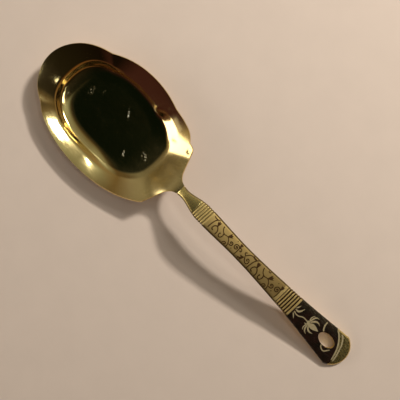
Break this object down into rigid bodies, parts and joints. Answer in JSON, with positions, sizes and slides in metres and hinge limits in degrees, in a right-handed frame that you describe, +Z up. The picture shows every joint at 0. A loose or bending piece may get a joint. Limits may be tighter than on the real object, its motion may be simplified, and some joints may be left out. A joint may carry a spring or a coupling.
{
  "type": "rice serving spoon",
  "caption": "Rice serving spoon with a shallow lobed oval bowl, narrow neck, arched handle with ribbed bands, enamelled flared end and oval hanging hole.",
  "frame": {"origin": "on the table, under the middle of the spoon's length and width", "axes": "+X from the handle's end to the bowl's tip, +Z up with the spoon lying on its back"},
  "size_m": [0.2415, 0.0673, 0.0241],
  "materials": {
    "gold_metal": "polished, finely brushed",
    "braze": "satin",
    "dark_enamel": "semi-gloss"
  },
  "bodies": {
    "root": {"bowl": "gold_metal", "handle": "gold_metal", "neck_braze": "braze", "end_enamel": "dark_enamel"}
  },
  "joints": []
}
